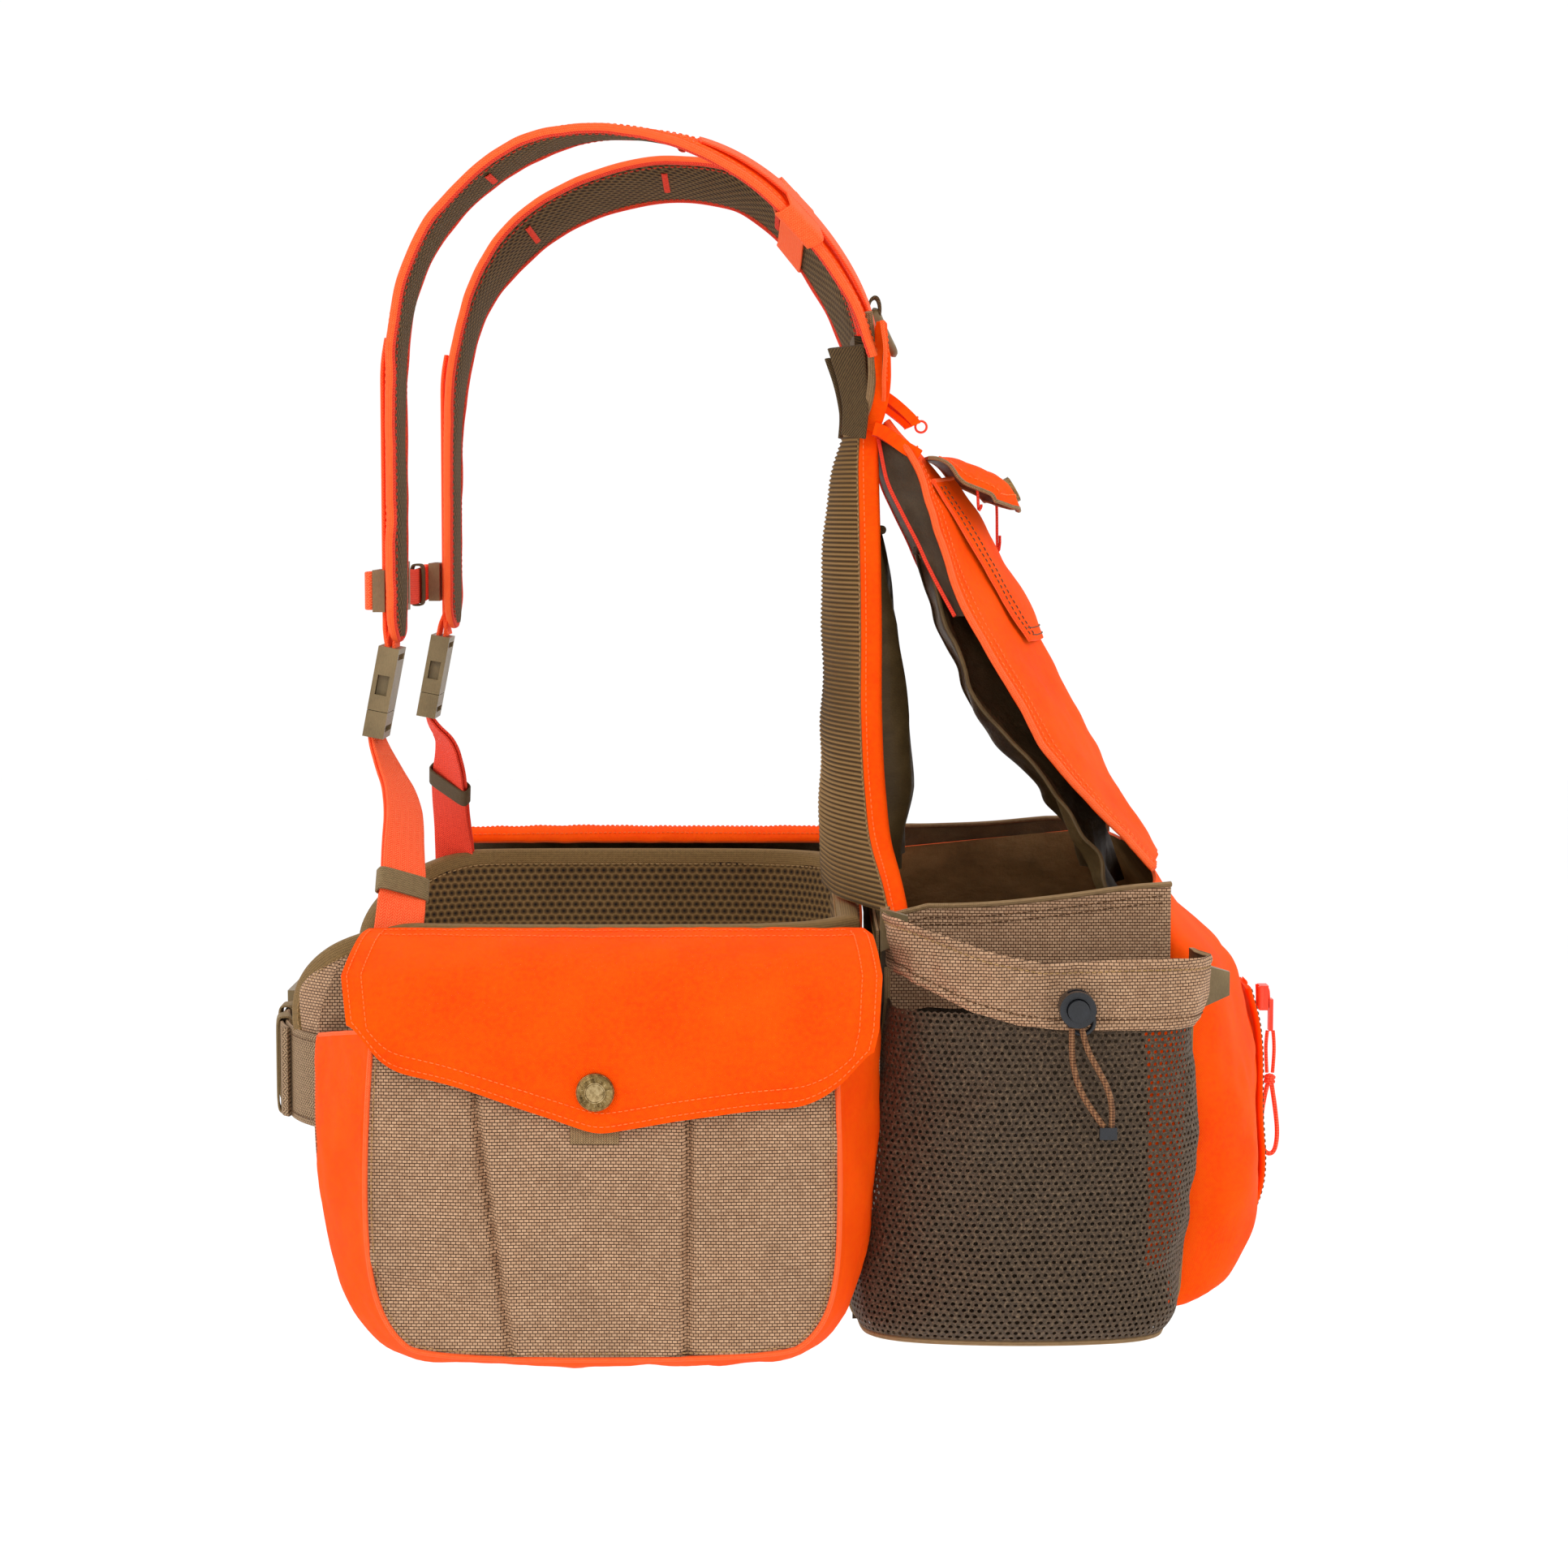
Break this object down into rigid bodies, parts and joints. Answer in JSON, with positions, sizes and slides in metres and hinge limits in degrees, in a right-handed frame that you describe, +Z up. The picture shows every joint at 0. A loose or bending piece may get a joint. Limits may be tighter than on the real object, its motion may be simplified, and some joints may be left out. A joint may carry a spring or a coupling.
{
  "type": "hunting strap vest",
  "caption": "Blaze orange strap vest: padded hip belt, shoulder straps, back pad, rear game bag, flap pouches and mesh pockets, with buckles, snaps, zippers and cord locks.",
  "frame": {"origin": "centre of the waist opening at mid height of the padded belt", "axes": "+Z up, the wearer faces -Y, the wearer's left side is +X"},
  "size_m": [0.524, 0.556, 0.6245],
  "materials": {
    "orange_fabric": "fine twill",
    "binding_olive": "woven binding",
    "spacer_mesh": "spacer mesh",
    "brown_nylon": "smooth nylon",
    "tan_ballistic": "basket weave",
    "open_mesh": "open knit mesh",
    "orange_webbing": "webbing",
    "tan_webbing": "webbing",
    "khaki_plastic": "moulded",
    "antique_brass": "aged",
    "black_plastic": "moulded",
    "spring_steel": "wire",
    "brown_cord": "braided",
    "orange_cord": "braided",
    "orange_metal": "coated"
  },
  "bodies": {
    "root": {"adjuster_tabs": "khaki_plastic", "back_pad": "spacer_mesh", "cord_ends": "black_plastic", "drawcord_left": "brown_cord", "drawcord_right": "brown_cord", "game_bag": "orange_fabric", "game_bag_liner": "brown_nylon", "hang_loop": "khaki_plastic", "hip_belt_left": "binding_olive", "hip_belt_right": "binding_olive", "hydration_sleeve": "brown_nylon", "lower_webbing_left": "orange_webbing", "lower_webbing_right": "orange_webbing", "lumbar_pad": "binding_olive", "mesh_pocket_left": "open_mesh", "mesh_pocket_right": "open_mesh", "pocket_hem_left": "tan_ballistic", "pocket_hem_right": "tan_ballistic", "pouch_body_left": "orange_fabric", "pouch_body_right": "orange_fabric", "pouch_front_left": "tan_ballistic", "pouch_front_right": "tan_ballistic", "rear_panel": "orange_fabric", "shoulder_strap_left": "orange_fabric", "shoulder_strap_right": "orange_fabric", "small_pocket": "orange_fabric", "snap_studs": "antique_brass", "strap_buckle_socket_left": "khaki_plastic", "strap_buckle_socket_right": "khaki_plastic", "strap_rails": "orange_webbing", "waist_buckle_socket": "khaki_plastic", "waist_webbing_left": "tan_webbing", "waist_webbing_right": "tan_webbing", "yoke": "orange_fabric"},
    "pouch_flap_left": {"pouch_flap_left": "orange_fabric", "snap_cap_left": "antique_brass"},
    "pouch_flap_right": {"pouch_flap_right": "orange_fabric", "snap_cap_right": "antique_brass"},
    "strap_plug_left": {"strap_buckle_plug_left": "khaki_plastic"},
    "strap_plug_right": {"strap_buckle_plug_right": "khaki_plastic"},
    "waist_plug": {"waist_buckle_plug": "khaki_plastic"},
    "chest_strap": {"chest_strap_sliders": "khaki_plastic", "chest_webbing_left": "orange_webbing", "chest_webbing_right": "orange_webbing", "chest_buckle_socket": "khaki_plastic"},
    "chest_plug": {"chest_buckle_plug": "khaki_plastic"},
    "rear_slider": {"rear_zip_slider": "orange_metal"},
    "rear_pull": {"rear_zip_tab": "orange_metal", "rear_zip_pull": "orange_cord"},
    "yoke_slider": {"yoke_zip_slider": "orange_metal"},
    "yoke_pull": {"yoke_zip_pull": "orange_metal"},
    "small_flap": {"small_pocket_flap": "orange_fabric", "small_pocket_snap": "antique_brass"},
    "lock_left": {"cord_lock_left": "black_plastic", "cord_lock_spring_left": "spring_steel"},
    "lock_right": {"cord_lock_right": "black_plastic", "cord_lock_spring_right": "spring_steel"},
    "button_left": {"cord_lock_button_left": "black_plastic"},
    "button_right": {"cord_lock_button_right": "black_plastic"}
  },
  "joints": [
    {"name": "pouch_flap_left_hinge", "type": "hinge", "parent": "root", "child": "pouch_flap_left", "pos_m": [0.1926, 0.027, 0.0517], "axis": [0, -1, 0], "range_deg": [0, 120]},
    {"name": "pouch_flap_right_hinge", "type": "hinge", "parent": "root", "child": "pouch_flap_right", "pos_m": [-0.1926, 0.027, 0.0517], "axis": [0, 1, 0], "range_deg": [0, 120]},
    {"name": "strap_buckle_left_slide", "type": "slide", "parent": "root", "child": "strap_plug_left", "axis": [0, -0.1908, -0.9816], "range_m": [0, 0.028], "deforming": ["lower_webbing_left"]},
    {"name": "strap_buckle_right_slide", "type": "slide", "parent": "root", "child": "strap_plug_right", "axis": [0, -0.1908, -0.9816], "range_m": [0, 0.028], "deforming": ["lower_webbing_right"]},
    {"name": "waist_buckle_slide", "type": "slide", "parent": "root", "child": "waist_plug", "axis": [-1, 0, 0], "range_m": [0, 0.038], "deforming": ["waist_webbing_right"]},
    {"name": "chest_strap_height_slide", "type": "slide", "parent": "root", "child": "chest_strap", "axis": [0, 0, 1], "range_m": [-0.005, 0.06]},
    {"name": "chest_buckle_slide", "type": "slide", "parent": "chest_strap", "child": "chest_plug", "axis": [-0.999, 0.0454, 0], "range_m": [0, 0.018], "deforming": ["chest_webbing_right"]},
    {"name": "rear_zipper_slide", "type": "slide", "parent": "root", "child": "rear_slider", "axis": [0, 0, -1], "range_m": [0, 0.12]},
    {"name": "rear_zip_pull_swing", "type": "hinge", "parent": "rear_slider", "child": "rear_pull", "pos_m": [0, 0.387, -0.0145], "axis": [1, 0, 0], "range_deg": [0, 90]},
    {"name": "yoke_zipper_slide", "type": "slide", "parent": "root", "child": "yoke_slider", "axis": [-1, 0, 0], "range_m": [0, 0.07]},
    {"name": "yoke_zip_pull_swing", "type": "hinge", "parent": "yoke_slider", "child": "yoke_pull", "pos_m": [0.026, 0.1668, 0.3228], "axis": [1, 0, 0], "range_deg": [0, 50]},
    {"name": "small_pocket_flap_hinge", "type": "hinge", "parent": "root", "child": "small_flap", "pos_m": [0, 0.1995, 0.2925], "axis": [1, 0, 0], "range_deg": [0, 110]},
    {"name": "cord_lock_left_slide", "type": "slide", "parent": "root", "child": "lock_left", "axis": [0, 0.2588, -0.9659], "range_m": [0, 0.03], "deforming": ["drawcord_left"]},
    {"name": "cord_lock_right_slide", "type": "slide", "parent": "root", "child": "lock_right", "axis": [0, 0.2588, -0.9659], "range_m": [0, 0.03], "deforming": ["drawcord_right"]},
    {"name": "cord_lock_left_button", "type": "slide", "parent": "lock_left", "child": "button_left", "axis": [-1, 0, 0], "range_m": [0, 0.003], "stiffness_N_per_m": 300, "springref_m": -0.002},
    {"name": "cord_lock_right_button", "type": "slide", "parent": "lock_right", "child": "button_right", "axis": [1, 0, 0], "range_m": [0, 0.003], "stiffness_N_per_m": 300, "springref_m": -0.002}
  ]
}
